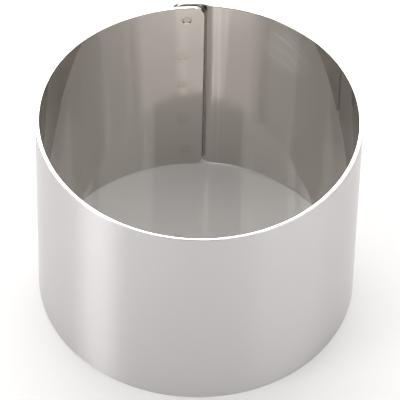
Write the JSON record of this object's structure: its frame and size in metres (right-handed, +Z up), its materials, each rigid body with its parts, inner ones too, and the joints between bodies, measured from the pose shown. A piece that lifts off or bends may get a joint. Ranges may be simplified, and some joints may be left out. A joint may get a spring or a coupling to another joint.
{
  "type": "pastry ring",
  "caption": "Open round pastry ring of brushed sheet steel, its ends lapped and spot welded at the back, for cutting, moulding and stacking food.",
  "frame": {"origin": "centre of the ring at its base, on the ring's axis", "axes": "+Z up along the ring's axis, +Y out through the weld line of the lap, +X to the right with the lap at the back"},
  "size_m": [0.082, 0.083, 0.06],
  "materials": {
    "brushed_steel": "satin stainless sheet, fine grain running round the ring, deburred edges",
    "weld_mark": "duller dished electrode mark with a faint heat tint"
  },
  "bodies": {
    "root": {"band": "brushed_steel", "spot_weld_1": "weld_mark", "spot_weld_2": "weld_mark", "spot_weld_3": "weld_mark", "spot_weld_4": "weld_mark", "spot_weld_5": "weld_mark"}
  },
  "joints": []
}
